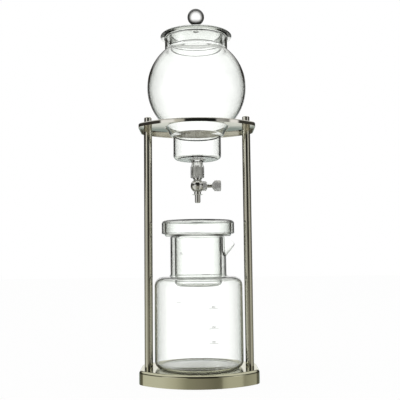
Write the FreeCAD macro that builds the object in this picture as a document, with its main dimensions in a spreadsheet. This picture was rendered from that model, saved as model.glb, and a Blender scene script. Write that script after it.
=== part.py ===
"""Cold drip coffee tower: a glass tank in a steel stand drips through a needle valve into a coffee basket
on a glass carafe.

Frame: millimetres, +Z up, origin under the middle of the base, on the surface that the tower stands on.
+X runs from post to post, towards the valve's knob and the carafe's spout. -Y is the front.
"""
import FreeCAD, Part
import Sketcher
import math
import os
from types import SimpleNamespace

SIZES = {
    # stand: two stamped plates of one outline, joined by two posts
    "plate_margin": 5.3,
    "post_outset": 2.9,
    "plate_arc": 105.0,
    "plate_corner": 20.0,
    "end_margin": 11.1,
    "sheet_wall": 1.2,
    "foot_height": 1.0,
    "foot_radius": 8.0,
    "foot_inset": 12.0,
    "base_height": 17.5,
    "base_edge": 4.0,
    "ring_height": 5.4,
    "ring_edge": 1.6,
    "ring_hole_radius": 44.5,
    "post_radius": 5.65,
    "stud_radius": 3.0,
    "stud_slack": 0.3,
    "stud_end_gap": 0.7,
    "thread_gap": 0.05,
    "cap_radius": 5.1,
    "cap_crown": 2.5,
    "cap_edge": 1.6,
    "cap_bore_depth": 11.0,
    "washer_radius": 6.0,
    "washer_thick": 1.2,
    "screw_head_radius": 5.0,
    "screw_head_height": 4.0,
    "screw_grip": 16.0,
    "screw_end_gap": 6.4,
    # ballast and its cover plate
    "weight_gap": 8.8,
    "weight_lift": 3.1,
    "weight_edge": 1.5,
    "boss_radius": 6.0,
    "boss_inset": 15.0,
    "cover_gap": 0.3,
    "cover_screw_radius": 2.0,
    "cover_screw_head": 3.8,
    "cover_screw_length": 9.0,
    # glass in general
    "seat_gap": 0.3,
    "slide_gap": 0.2,
    # water tank
    "globe_radius": 68.5,
    "tank_wall": 2.6,
    "flare_radius": 55.0,
    "shoulder_drop": 12.0,
    "shoulder_fall": 3.0,
    "sump_radius": 33.1,
    "sump_length": 13.6,
    "sump_corner": 6.0,
    "neck_radius": 43.4,
    "neck_blend": 4.0,
    "neck_length": 17.0,
    "bead_height": 3.4,
    "bead_swell": 1.0,
    "lip_round": 1.0,
    "outlet_blend": 5.0,
    "waist_length": 1.2,
    "waist_radius": 7.8,
    "waist_bore": 4.6,
    "joint_radius": 9.45,
    "joint_slope": 3.7,
    "joint_length": 15.0,
    "joint_rim": 1.0,
    "bore_mouth": 6.9,
    "bore_top": 6.3,
    "bore_depth": 14.5,
    # tank lid
    "lid_overhang": 6.2,
    "lid_edge": 2.4,
    "lid_rise": 7.6,
    "lid_wall": 2.8,
    "plug_gap": 3.8,
    "plug_wall": 2.5,
    "plug_depth": 14.6,
    "stem_radius": 2.4,
    "stem_root": 2.5,
    "ball_radius": 11.65,
    "ball_height": 19.9,
    # needle valve, measured from the middle of its ball
    "valve_gap": 0.2,
    "valve_ball": 9.55,
    "valve_neck": 4.8,
    "valve_neck_above": 0.95,
    "valve_neck_below": 3.35,
    "collar_radius": 6.25,
    "collar_thick": 1.8,
    "port_radius": 1.5,
    "inlet_radius": 3.0,
    "inlet_socket": 6.0,
    "inlet_rise": 1.2,
    "press_gap": 0.01,
    "stopper_gap": 0.05,
    "nozzle_radius": 3.85,
    "nozzle_length": 11.0,
    "nozzle_tip": 0.6,
    "nozzle_stub": 2.8,
    "nozzle_socket": 4.5,
    "flange_radius": 7.8,
    "flange_thick": 0.7,
    "flange_flare": 0.8,
    "shoulder_radius": 6.7,
    "shoulder_reach": 7.2,
    "boss_reach": 11.0,
    "gland_boss": 4.8,
    "gland_radius": 3.7,
    "gland_depth": 2.4,
    "nut_corner": 6.7,
    "nut_length": 5.0,
    "nut_chamfer": 0.7,
    "nut_collar": 5.2,
    "nut_collar_length": 0.9,
    "spindle_radius": 2.7,
    "needle_radius": 2.2,
    "needle_tip": 0.6,
    "needle_taper": 2.6,
    "needle_reach": 2.4,
    "needle_step": 6.0,
    "step_slack": 0.5,
    "needle_slack": 0.6,
    "running_gap": 0.06,
    "groove_place": 3.0,
    "groove_width": 1.3,
    "groove_radius": 1.1,
    "ring_section": 0.5,
    "knob_back": 20.4,
    "knob_back_radius": 3.6,
    "knob_cone": 2.4,
    "knob_length": 9.5,
    "knob_corner": 7.5,
    "knob_chamfer": 1.0,
    "knob_socket": 6.0,
    "knob_recess_radius": 4.4,
    "knob_recess": 0.6,
    # coffee basket and its lid
    "drip_gap": 24.4,
    "basket_gap": 3.7,
    "basket_wall": 2.2,
    "basket_depth": 67.1,
    "basket_corner": 8.0,
    "basket_blend": 2.2,
    "dish_overhang": 7.5,
    "dish_height": 19.1,
    "dish_corner": 3.6,
    "drip_hole": 1.5,
    "drip_circle": 13.0,
    "cover_side_gap": 1.8,
    "cover_wall": 2.2,
    "cover_height": 17.9,
    "cover_corner": 4.0,
    "cover_hole": 8.0,
    # carafe
    "carafe_radius": 59.7,
    "carafe_wall": 2.4,
    "carafe_height": 174.5,
    "carafe_corner": 8.0,
    "foot_ring": 44.0,
    "punt_rise": 2.0,
    "shoulder_height": 120.6,
    "shoulder_round": 12.0,
    "carafe_neck": 38.2,
    "carafe_blend": 4.0,
    "spout_length": 11.1,
    "spout_sink": 8.2,
    "spout_base_drop": 26.6,
    "spout_tip_drop": 9.1,
    "spout_tip_depth": 3.6,
    "spout_root_half_width": 16.9,
    "spout_tip_half_width": 3.2,
    "spout_wall": 1.9,
    "spout_floor": 2.3,
}
DRIP_HOLES = 6
COVER_SCREWS = 4
FEET = 4
SIDES = {"left": -1, "right": 1}
LEFT, RIGHT = 1, -1
TINY = 1e-6


class Size:
    """A length: its value now, and the expression over the sheet that gives it."""

    def __init__(self, value, text):
        self.value = value
        self.text = text

    def __add__(self, other):
        other = as_size(other)
        return Size(self.value + other.value, f"({self.text} + {other.text})")

    def __sub__(self, other):
        other = as_size(other)
        return Size(self.value - other.value, f"({self.text} - {other.text})")

    def __mul__(self, other):
        other = as_size(other)
        return Size(self.value * other.value, f"({self.text} * {other.text})")

    def __truediv__(self, other):
        other = as_size(other)
        return Size(self.value / other.value, f"({self.text} / {other.text})")

    def __rsub__(self, other):
        return as_size(other) - self

    def __neg__(self):
        return as_size(0) - self

    __radd__ = __add__
    __rmul__ = __mul__


def as_size(number):
    """A plain number as a Size."""
    return number if isinstance(number, Size) else Size(float(number), f"{number:g}")


def root(number):
    """The square root of a Size."""
    return Size(math.sqrt(number.value), f"sqrt({number.text})")


def leg(hypotenuse, other_leg):
    """The second leg of a right triangle."""
    return root(hypotenuse * hypotenuse - other_leg * other_leg)


doc = FreeCAD.newDocument("ColdDripTower")
pieces = []


def size_sheet():
    """The spreadsheet of driving sizes, and the same sizes for use in outlines."""
    sheet = doc.addObject("Spreadsheet::Sheet", "Sizes")
    for row, (name, value) in enumerate(SIZES.items(), start=1):
        sheet.set(f"A{row}", name.replace("_", " "))
        sheet.set(f"B{row}", str(value))
        sheet.setAlias(f"B{row}", name)
    doc.recompute()
    return SimpleNamespace(**{name: Size(value, f"Sizes.{name}") for name, value in SIZES.items()})


s = size_sheet()

# Radii and reaches that follow from others
plate_radius = s.carafe_radius + s.plate_margin
post_place = plate_radius + s.post_outset
plate_reach = post_place + s.end_margin
arc_centre = s.plate_arc - plate_radius
corner_across = plate_reach - s.plate_corner
corner_depth = leg(s.plate_arc - s.plate_corner, corner_across) - arc_centre
weight_radius = plate_radius - s.sheet_wall - s.weight_gap
boss_circle = weight_radius - s.boss_inset
plug_radius = s.neck_radius - s.tank_wall - s.plug_gap
basket_radius = s.carafe_neck - s.carafe_wall - s.basket_gap
dish_radius = s.carafe_neck + s.dish_overhang
cover_radius = dish_radius + s.cover_side_gap + s.cover_wall
blend_centre = s.sump_radius + s.flare_radius
neck_centre = s.neck_radius + s.neck_blend

# Heights from the top of the plate that carries the tank
flare_drop = leg(s.flare_radius - s.seat_gap, blend_centre - s.ring_hole_radius)
globe_height = leg(s.globe_radius + s.flare_radius, blend_centre) - flare_drop
neck_rise = leg(s.globe_radius + s.neck_blend, neck_centre)
lip_height = globe_height + neck_rise + s.neck_length
sump_depth = flare_drop + s.sump_length
waist_bottom = -sump_depth - s.outlet_blend - s.waist_length
joint_top = waist_bottom - s.joint_slope
joint_bottom = joint_top - s.joint_length

# Heights from the middle of the valve's ball
neck_meets_ball = leg(s.valve_ball, s.valve_neck)
collar_base = neck_meets_ball + s.valve_neck_above
collar_top = collar_base + s.collar_thick
valve_foot = neck_meets_ball + s.valve_neck_below
nozzle_end = valve_foot + s.flange_thick + s.nozzle_length

# Heights from the ground
base_top = s.foot_height + s.base_height
carafe_floor = base_top + s.slide_gap
basket_floor = carafe_floor + s.carafe_height + s.seat_gap - s.basket_depth
dish_rim = s.basket_depth + s.dish_height
cover_top = basket_floor + dish_rim + s.seat_gap + s.cover_wall
valve_height = cover_top + s.drip_gap + nozzle_end
ring_top = valve_height + collar_top + s.valve_gap - joint_bottom
ring_bottom = ring_top - s.ring_height
post_length = ring_top - s.sheet_wall - base_top


def bind(thing, path, size):
    """Ties one property of an object to the sheet."""
    thing.setExpression(path, size.text)


def plane_of(body, role):
    """The origin plane of a body with this role."""
    return next(f for f in body.Origin.OriginFeatures if f.Role == role)


def new_sketch(body, name, role, offset=None):
    """A sketch on one of the body's own origin planes, moved along its normal by offset."""
    sketch = body.newObject("Sketcher::SketchObject", f"{body.Name}_{name}")
    sketch.AttachmentSupport = [(plane_of(body, role), "")]
    sketch.MapMode = "FlatFace"
    if offset is not None:
        bind(sketch, "AttachmentOffset.Base.z", offset)
    return sketch


def constrain(sketch, kind, *args, size=None):
    """Adds one constraint, tied to the sheet where it has a size."""
    values = args if size is None else args + (size.value,)
    index = sketch.addConstraint(Sketcher.Constraint(kind, *values))
    if size is not None:
        bind(sketch, f"Constraints[{index}]", size)


def arc_through(start, end, radius, turn):
    """The shorter arc of this radius from start to end, bending to the left or the right."""
    along = end - start
    reach = math.sqrt(max(radius ** 2 - along.Length ** 2 / 4, 0))
    left = FreeCAD.Vector(-along.y, along.x, 0).normalize()
    centre = (start + end) / 2 + left * reach * turn
    first, last = (start, end) if turn == LEFT else (end, start)
    angles = [math.atan2(p.y - centre.y, p.x - centre.x) for p in (first, last)]
    return Part.ArcOfCircle(Part.Circle(centre, FreeCAD.Vector(0, 0, 1), radius), *angles)


def place_corner(sketch, corner, before, line, geometry, pos):
    """Fixes one corner of an outline: level or upright with the one before, on an axis, or by its distances."""
    directions = (("DistanceX", "Vertical", -2), ("DistanceY", "Horizontal", -1))
    for coordinate, (distance, aligned, axis) in enumerate(directions):
        size = corner[coordinate]
        if before is not None and line is not None and size.text == before[coordinate].text:
            constrain(sketch, aligned, line)
        elif abs(size.value) < TINY:
            constrain(sketch, "PointOnObject", geometry, pos, axis)
        else:
            constrain(sketch, distance, -1, 1, geometry, pos, size=size)


def draw(sketch, corners):
    """Draws a closed outline. A corner is (across, up), or (across, up, radius, turn) where an arc leads to it."""
    corners = [tuple(as_size(v) for v in c[:2]) + tuple(c[2:]) for c in corners]
    points = [FreeCAD.Vector(c[0].value, c[1].value, 0) for c in corners]
    starts, ends, lines = [], [], []
    for i, corner in enumerate(corners[1:] + corners[:1]):
        start, end = points[i], points[(i + 1) % len(points)]
        if len(corner) == 2:
            index = sketch.addGeometry(Part.LineSegment(start, end), False)
            starts.append((index, 1))
            ends.append((index, 2))
            lines.append(index)
        else:
            radius, turn = as_size(corner[2]), corner[3]
            index = sketch.addGeometry(arc_through(start, end, radius.value, turn), False)
            starts.append((index, 1 if turn == LEFT else 2))
            ends.append((index, 2 if turn == LEFT else 1))
            lines.append(None)
    for i, end in enumerate(ends):
        constrain(sketch, "Coincident", *end, *starts[(i + 1) % len(starts)])
    for i, corner in enumerate(corners):
        before = corners[i - 1] if i else None
        place_corner(sketch, corner, before, lines[i - 1] if i else None, *starts[i])
    for i, corner in enumerate(corners):
        if len(corner) == 4:
            size_arc(sketch, ends[i - 1], points[i] - points[i - 1], as_size(corner[2]))


def size_arc(sketch, end, chord, radius):
    """Fixes an arc by its radius, or a half circle by its centre's place between its ends."""
    if chord.Length < 2 * radius.value - TINY:
        constrain(sketch, "Radius", end[0], size=radius)
    elif abs(chord.x) < abs(chord.y):
        constrain(sketch, "Vertical", *end, end[0], 3)
    else:
        constrain(sketch, "Horizontal", *end, end[0], 3)


def draw_circle(sketch, across, up, radius):
    """Draws a circle with its centre fixed."""
    across, up = as_size(across), as_size(up)
    middle = FreeCAD.Vector(across.value, up.value, 0)
    index = sketch.addGeometry(Part.Circle(middle, FreeCAD.Vector(0, 0, 1), radius.value), False)
    place_corner(sketch, (across, up), None, None, index, 3)
    constrain(sketch, "Radius", index, size=radius)


def new_body(label, along=None, across=None, up=None):
    """A body with its own label, moved to where it stands. along="x" lays its own Z along +X."""
    body = doc.addObject("PartDesign::Body", label)
    body.Label = label
    if along == "x":
        body.Placement = FreeCAD.Placement(FreeCAD.Vector(), FreeCAD.Rotation(FreeCAD.Vector(0, 1, 0), 90))
    if across is not None:
        bind(body, "Placement.Base.x", across)
    if up is not None:
        bind(body, "Placement.Base.z", up)
    pieces.append(body)
    return body


def add(body, kind, name, profile, **settings):
    """One feature made from a sketch."""
    feature = body.newObject(f"PartDesign::{kind}", f"{body.Name}_{name}")
    feature.Profile = profile
    for key, value in settings.items():
        if isinstance(value, Size):
            bind(feature, key, value)
        else:
            setattr(feature, key, value)
    return feature


def turn(body, name, corners, kind="Revolution", axis="V_Axis"):
    """A turned form, or a turned cut, about the body's own Z, or about its X with axis="H_Axis"."""
    sketch = new_sketch(body, f"{name}_outline", "XZ_Plane")
    draw(sketch, corners)
    return add(body, kind, name, sketch, ReferenceAxis=(sketch, [axis]), Angle=360)


def circle_feature(body, kind, name, radius, length, start=None, centres=((0, 0),), upward=True):
    """Round posts or holes from the height start, up or down, over the length."""
    sketch = new_sketch(body, f"{name}_circle", "XY_Plane", start)
    for across, away in centres:
        draw_circle(sketch, across, away, radius)
    backward = upward if kind == "Pocket" else not upward
    return add(body, kind, name, sketch, Length=length, Reversed=backward)


def pattern(body, feature, name, count, axis="N_Axis"):
    """Copies of a feature around the body's own Z, which is this axis of the feature's sketch."""
    copies = body.newObject("PartDesign::PolarPattern", f"{body.Name}_{name}")
    copies.Originals = [feature]
    copies.Axis = (feature.Profile[0], [axis])
    copies.Angle = 360
    copies.Occurrences = count
    body.Tip = copies
    return copies


def dress(body, kind, name, feature, test, size):
    """A fillet or chamfer on the edges of a feature that pass the test."""
    doc.recompute()
    edges = [f"Edge{i}" for i, edge in enumerate(feature.Shape.Edges, start=1) if test(edge)]
    dressed = body.newObject(f"PartDesign::{kind}", f"{body.Name}_{name}")
    dressed.Base = (feature, edges)
    bind(dressed, "Radius" if kind == "Fillet" else "Size", size)
    return dressed


def level_at(*heights):
    """A test of whether an edge lies level at one of these heights."""
    def test(edge):
        """Compares the edge's lowest and highest points with each height."""
        low, high = edge.BoundBox.ZMin, edge.BoundBox.ZMax
        return any(abs(low - height.value) < TINY and abs(high - height.value) < TINY for height in heights)
    return test


def plate_outline(inset):
    """The outline that all three plates share, drawn in by inset: two wide arcs, two flat ends, round corners."""
    arc, corner = s.plate_arc - inset, s.plate_corner - inset
    reach = plate_reach - inset
    meet_across = corner_across * arc / (s.plate_arc - s.plate_corner)
    meet_depth = (corner_depth + arc_centre) * arc / (s.plate_arc - s.plate_corner) - arc_centre
    return [
        (meet_across, -meet_depth, arc, LEFT),
        (reach, -corner_depth, corner, LEFT),
        (reach, corner_depth),
        (meet_across, meet_depth, corner, LEFT),
        (-meet_across, meet_depth, arc, LEFT),
        (-reach, corner_depth, corner, LEFT),
        (-reach, -corner_depth),
        (-meet_across, -meet_depth, corner, LEFT),
    ]


def plate_form(body, kind, name, inset, height, backward=False):
    """The plates' shared outline, raised or cut to this height from the body's zero."""
    sketch = new_sketch(body, f"{name}_outline", "XY_Plane")
    draw(sketch, plate_outline(inset))
    return add(body, kind, name, sketch, Length=height, Reversed=backward)


def stamped_plate(label, height, edge_radius, up):
    """A plate stamped from sheet: a rounded top edge, a skirt all round, and a hole for a post at each end."""
    body = new_body(label, up=up)
    form = plate_form(body, "Pad", "form", as_size(0), height)
    dress(body, "Fillet", "top_edge", form, level_at(height), edge_radius)
    plate_form(body, "Pocket", "hollow", s.sheet_wall, height - s.sheet_wall, backward=True)
    centres = [(post_place * side, 0) for side in SIDES.values()]
    circle_feature(body, "Pocket", "post_holes", s.stud_radius + s.stud_slack, height, centres=centres)
    return body


def base_shell():
    """The polished base, open below."""
    return stamped_plate("base_shell", s.base_height, s.base_edge, s.foot_height)


def top_ring():
    """The polished plate that carries the tank, with its round hole."""
    body = stamped_plate("top_ring", s.ring_height, s.ring_edge, ring_bottom)
    circle_feature(body, "Pocket", "tank_hole", s.ring_hole_radius, s.ring_height)
    return body


def base_weight():
    """The cast ballast disc, with a boss for each cover screw."""
    top = s.base_height - s.sheet_wall * 2
    body = new_body("base_weight", up=s.foot_height + s.sheet_wall)
    disc = circle_feature(body, "Pad", "disc", weight_radius, top - s.weight_lift, s.weight_lift)
    dress(body, "Chamfer", "rims", disc, level_at(s.weight_lift, top), s.weight_edge)
    boss = circle_feature(body, "Pad", "boss", s.boss_radius, s.weight_lift + s.weight_edge,
                          centres=[(boss_circle, 0)])
    pattern(body, boss, "bosses", COVER_SCREWS)
    hole = circle_feature(body, "Pocket", "screw_hole", s.cover_screw_radius + s.thread_gap,
                          s.cover_screw_length, centres=[(boss_circle, 0)])
    pattern(body, hole, "screw_holes", COVER_SCREWS)


def turned_ring(body, kind, name, corners, across, length):
    """A form or a cut turned about an upright line beside the middle, and its copies around the middle."""
    sketch = new_sketch(body, f"{name}_outline", "XZ_Plane")
    draw(sketch, corners)
    foot, top = FreeCAD.Vector(across.value, 0, 0), FreeCAD.Vector(across.value, length.value, 0)
    line = sketch.addGeometry(Part.LineSegment(foot, top), True)
    constrain(sketch, "Vertical", line)
    constrain(sketch, "PointOnObject", line, 1, -1)
    constrain(sketch, "DistanceX", -1, 1, line, 1, size=across)
    constrain(sketch, "DistanceY", line, 1, line, 2, size=length)
    first = add(body, kind, name, sketch, ReferenceAxis=(sketch, ["Axis0"]), Angle=360)
    pattern(body, first, f"{name}_ring", COVER_SCREWS, "V_Axis")


def bottom_plate():
    """The sheet that closes the base from below, countersunk for its screws."""
    body = new_body("bottom_plate", up=s.foot_height)
    plate_form(body, "Pad", "form", s.sheet_wall + s.cover_gap, s.sheet_wall)
    middle, slack = boss_circle, s.cover_gap / 2
    turned_ring(body, "Groove", "sink", [
        (middle - s.cover_screw_head - slack, 0),
        (middle, 0),
        (middle, s.sheet_wall),
        (middle - s.cover_screw_radius - slack, s.sheet_wall),
    ], middle, s.sheet_wall)


def cover_screws():
    """The countersunk screws that hold the bottom plate to the ballast."""
    body = new_body("cover_screws", up=s.foot_height)
    middle = boss_circle
    turned_ring(body, "Revolution", "screw", [
        (middle - s.cover_screw_head, 0),
        (middle, 0),
        (middle, s.cover_screw_length),
        (middle - s.cover_screw_radius, s.cover_screw_length),
        (middle - s.cover_screw_radius, s.sheet_wall),
    ], middle, s.cover_screw_length)


def foot_pads():
    """The thin rubber feet under the bottom plate."""
    body = new_body("foot_pads")
    place = (plate_radius - s.foot_inset) / root(as_size(2))
    pad = circle_feature(body, "Pad", "foot", s.foot_radius, s.foot_height, centres=[(place, place)])
    pattern(body, pad, "feet", FEET)


def post(side, sign):
    """A polished post: a threaded hole in its foot, and a stud on top."""
    body = new_body(f"post_{side}", across=post_place * sign, up=base_top)
    hole = s.stud_radius + s.thread_gap
    hole_depth = s.screw_grip - s.sheet_wall - s.washer_thick + s.screw_end_gap
    stud_end = post_length + s.sheet_wall + s.cap_bore_depth - s.stud_end_gap
    turn(body, "form", [
        (hole, 0),
        (s.post_radius, 0),
        (s.post_radius, post_length),
        (s.stud_radius, post_length),
        (s.stud_radius, stud_end),
        (0, stud_end),
        (0, hole_depth),
        (hole, hole_depth),
    ])


def cap_nut(side, sign):
    """The round cap nut on a post's stud."""
    body = new_body(f"cap_nut_{side}", across=post_place * sign, up=ring_top)
    bore = s.stud_radius + s.thread_gap
    cap_height = s.cap_bore_depth + s.cap_crown
    turn(body, "form", [
        (bore, 0),
        (s.cap_radius, 0),
        (s.cap_radius, cap_height - s.cap_edge),
        (s.cap_radius - s.cap_edge, cap_height, s.cap_edge, LEFT),
        (0, cap_height),
        (0, s.cap_bore_depth),
        (bore, s.cap_bore_depth),
    ])


def post_washer(side, sign):
    """The washer between the base and a post's screw."""
    top = base_top - s.sheet_wall
    body = new_body(f"post_washer_{side}", across=post_place * sign, up=top - s.washer_thick)
    turn(body, "form", [
        (s.stud_radius + s.stud_slack, 0),
        (s.washer_radius, 0),
        (s.washer_radius, s.washer_thick),
        (s.stud_radius + s.stud_slack, s.washer_thick),
    ])


def post_screw(side, sign):
    """The screw that holds a post from inside the base."""
    under = base_top - s.sheet_wall - s.washer_thick
    body = new_body(f"post_screw_{side}", across=post_place * sign, up=under)
    turn(body, "form", [
        (0, -s.screw_head_height),
        (s.screw_head_radius, -s.screw_head_height),
        (s.screw_head_radius, 0),
        (s.stud_radius, 0),
        (s.stud_radius, s.screw_grip),
        (0, s.screw_grip),
    ])


def tank_glass():
    """The blown tank: lip, neck, globe, flare, shoulder, sump and outlet. Its own zero is the top of the plate."""
    body = new_body("tank_glass", up=ring_top)
    wall = s.tank_wall
    neck_reach = s.globe_radius + s.neck_blend
    flare_reach = s.globe_radius + s.flare_radius
    flare_rise = globe_height + flare_drop

    def on_globe(radius):
        """Where a globe of this radius meets the flare, and the neck's blend."""
        low = (blend_centre * radius / flare_reach, globe_height - flare_rise * radius / flare_reach)
        high = (neck_centre * radius / neck_reach, globe_height + neck_rise * radius / neck_reach)
        return low, high

    def on_flare(radius):
        """Where the flare, drawn at this radius about its own centre, ends at the shoulder."""
        rise = flare_drop - s.shoulder_drop
        share = radius / s.flare_radius
        return blend_centre - leg(s.flare_radius, rise) * share, rise * share - flare_drop

    low, high = on_globe(s.globe_radius)
    low_inside, high_inside = on_globe(s.globe_radius - wall)
    sump_inside = s.sump_radius - wall
    sump_top = -s.shoulder_drop - s.shoulder_fall
    neck_inside = s.neck_radius - wall
    floor = wall - sump_depth
    corner_inside = s.sump_corner - wall
    bore_end = joint_bottom + s.bore_depth
    bead = (s.bead_height * s.bead_height / 4 + s.bead_swell * s.bead_swell) / (s.bead_swell * 2)
    turn(body, "form", [
        (s.bore_mouth, joint_bottom),
        (s.joint_radius - s.joint_rim, joint_bottom),
        (s.joint_radius, joint_bottom + s.joint_rim, s.joint_rim, LEFT),
        (s.joint_radius, joint_top),
        (s.waist_radius, waist_bottom),
        (s.waist_radius, waist_bottom + s.waist_length),
        (s.waist_radius + s.outlet_blend, -sump_depth, s.outlet_blend, RIGHT),
        (s.sump_radius - s.sump_corner, -sump_depth),
        (s.sump_radius, s.sump_corner - sump_depth, s.sump_corner, LEFT),
        (s.sump_radius, sump_top),
        on_flare(s.flare_radius),
        (*low, s.flare_radius, RIGHT),
        (*high, s.globe_radius, LEFT),
        (s.neck_radius, globe_height + neck_rise, s.neck_blend, RIGHT),
        (s.neck_radius, lip_height - s.bead_height),
        (s.neck_radius, lip_height, bead, LEFT),
        (neck_inside + s.lip_round, lip_height),
        (neck_inside, lip_height - s.lip_round, s.lip_round, LEFT),
        (neck_inside, globe_height + neck_rise),
        (*high_inside, s.neck_blend + wall, LEFT),
        (*low_inside, s.globe_radius - wall, RIGHT),
        (*on_flare(s.flare_radius + wall), s.flare_radius + wall, LEFT),
        (sump_inside, sump_top + wall / 2),
        (sump_inside, floor + corner_inside),
        (sump_inside - corner_inside, floor, corner_inside, RIGHT),
        (s.waist_bore + s.lip_round, floor),
        (s.waist_bore, floor - s.lip_round, s.lip_round, LEFT),
        (s.waist_bore, bore_end),
        (s.bore_top, bore_end),
    ])


def tank_lid():
    """The domed lid with its plug ring and ball, fused in one piece. Its own zero is its flat underside."""
    body = new_body("tank_lid", up=ring_top + lip_height + s.seat_gap)
    half_edge = s.lid_edge / 2
    rim = s.neck_radius + s.lid_overhang - half_edge
    dome_top = s.lid_edge + s.lid_rise
    dome = (rim * rim + s.lid_rise * s.lid_rise) / (s.lid_rise * 2)
    dome_centre = dome_top - dome
    root_edge = s.stem_radius + s.stem_root
    root_height = dome_centre + leg(dome, root_edge)
    ball_centre = dome_top + s.ball_height
    plug_inside = plug_radius - s.plug_wall
    inside = dome - s.lid_wall
    plug_end = s.plug_wall / 2 - s.plug_depth
    turn(body, "form", [
        (rim, 0),
        (rim, s.lid_edge, half_edge, LEFT),
        (root_edge, root_height, dome, LEFT),
        (s.stem_radius, root_height + s.stem_root, s.stem_root, RIGHT),
        (s.stem_radius, ball_centre - leg(s.ball_radius, s.stem_radius)),
        (0, ball_centre + s.ball_radius, s.ball_radius, LEFT),
        (0, dome_top - s.lid_wall),
        (plug_inside, dome_centre + leg(inside, plug_inside), inside, RIGHT),
        (plug_inside, plug_end),
        (plug_radius, plug_end, s.plug_wall / 2, LEFT),
        (plug_radius, 0),
    ])


def stopper():
    """The tapered silicone stopper in the tank's outlet, bored for the inlet tube."""
    body = new_body("stopper", up=valve_height + collar_top)
    length = s.valve_gap + s.bore_depth
    turn(body, "form", [
        (s.inlet_radius + s.press_gap, 0),
        (s.bore_mouth - s.stopper_gap, 0),
        (s.bore_mouth - s.stopper_gap, s.valve_gap),
        (s.bore_top - s.stopper_gap, length - s.slide_gap),
        (s.inlet_radius + s.press_gap, length - s.slide_gap),
    ])


def inlet_tube():
    """The steel tube that leads through the stopper into the valve."""
    body = new_body("inlet_tube", up=valve_height + collar_top - s.inlet_socket)
    length = s.inlet_socket + s.bore_depth + s.inlet_rise
    turn(body, "form", [
        (s.port_radius, 0),
        (s.inlet_radius, 0),
        (s.inlet_radius, length),
        (s.port_radius, length),
    ])


def valve_body():
    """The valve: a ball with a collar above, a neck below, a side boss for the gland, and its bores."""
    body = new_body("valve_body", up=valve_height)
    turn(body, "ball", [
        (0, -valve_foot),
        (s.valve_neck, -valve_foot),
        (s.valve_neck, -neck_meets_ball),
        (s.valve_neck, neck_meets_ball, s.valve_ball, LEFT),
        (s.valve_neck, collar_base),
        (s.collar_radius, collar_base),
        (s.collar_radius, collar_top),
        (0, collar_top),
    ])
    turn(body, "boss", [
        (0, 0),
        (s.boss_reach, 0),
        (s.boss_reach, s.gland_boss),
        (s.shoulder_reach, s.gland_boss),
        (s.shoulder_reach, s.shoulder_radius),
        (0, s.shoulder_radius),
    ], axis="H_Axis")
    turn(body, "facing", [
        (s.shoulder_reach, s.gland_boss),
        (s.boss_reach, s.gland_boss),
        (s.boss_reach, s.valve_ball),
        (s.shoulder_reach, s.valve_ball),
    ], "Groove", "H_Axis")
    circle_feature(body, "Pocket", "port", s.port_radius, valve_foot + collar_top, -valve_foot)
    circle_feature(body, "Pocket", "inlet_hole", s.inlet_radius + s.press_gap, s.inlet_socket,
                   collar_top, upward=False)
    circle_feature(body, "Pocket", "nozzle_hole", s.nozzle_stub + s.press_gap, s.nozzle_socket, -valve_foot)
    needle_bore = s.needle_radius + s.running_gap
    spindle_bore = s.spindle_radius + s.running_gap
    end = -s.needle_reach - s.needle_slack
    step = s.needle_step - s.step_slack
    gland = s.boss_reach - s.gland_depth
    turn(body, "spindle_bore", [
        (end, 0),
        (s.boss_reach, 0),
        (s.boss_reach, s.gland_radius),
        (gland, s.gland_radius),
        (gland, spindle_bore),
        (step, spindle_bore),
        (step, needle_bore),
        (s.needle_taper - s.needle_reach, needle_bore),
        (end, s.needle_tip + s.running_gap),
    ], "Groove", "H_Axis")


def drip_nozzle():
    """The nozzle below the valve, with the thin flared flange that sheds drops."""
    body = new_body("drip_nozzle", up=valve_height - valve_foot)
    lower = -s.flange_thick
    turn(body, "form", [
        (s.port_radius - s.nozzle_tip / 2, lower - s.nozzle_length),
        (s.nozzle_radius - s.nozzle_tip, lower - s.nozzle_length),
        (s.nozzle_radius, lower - s.nozzle_length + s.nozzle_tip * 2),
        (s.nozzle_radius, lower),
        (s.flange_radius - s.flange_flare * 2, lower),
        (s.flange_radius, 0),
        (s.flange_radius - s.flange_thick, s.flange_flare - s.flange_thick),
        (s.flange_radius - s.flange_flare * 2 - s.flange_thick, 0),
        (s.nozzle_stub, 0),
        (s.nozzle_stub, s.nozzle_socket),
        (s.port_radius - s.nozzle_tip / 2, s.nozzle_socket),
    ])


def packing_ring():
    """The gland's packing ring around the spindle."""
    body = new_body("packing_ring", along="x", across=s.boss_reach - s.gland_depth, up=valve_height)
    bore = s.spindle_radius + s.running_gap
    outside = s.gland_radius - s.press_gap
    turn(body, "form", [(bore, 0), (outside, 0), (outside, s.gland_depth), (bore, s.gland_depth)])


def hexagon(corner):
    """A hexagon about the middle, by its corner radius, with two corners across."""
    low = corner / 2
    side = corner * root(as_size(3)) / 2
    return [(corner, 0), (low, side), (-low, side), (-corner, 0), (-low, -side), (low, -side)]


def chamfered_hexagon(body, corner, start, length, chamfer):
    """A hexagonal prism with its corners turned off at both ends."""
    sketch = new_sketch(body, "hexagon", "XY_Plane", start)
    draw(sketch, hexagon(corner))
    add(body, "Pad", "prism", sketch, Length=length)
    flat = corner * root(as_size(3)) / 2
    for name, end, inward in (("back", start, 1), ("front", start + length, -1)):
        turn(body, f"{name}_chamfer", [
            (flat, end),
            (corner + chamfer, end),
            (corner + chamfer, end + chamfer * inward * 2),
            (corner, end + chamfer * inward),
        ], "Groove")


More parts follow.
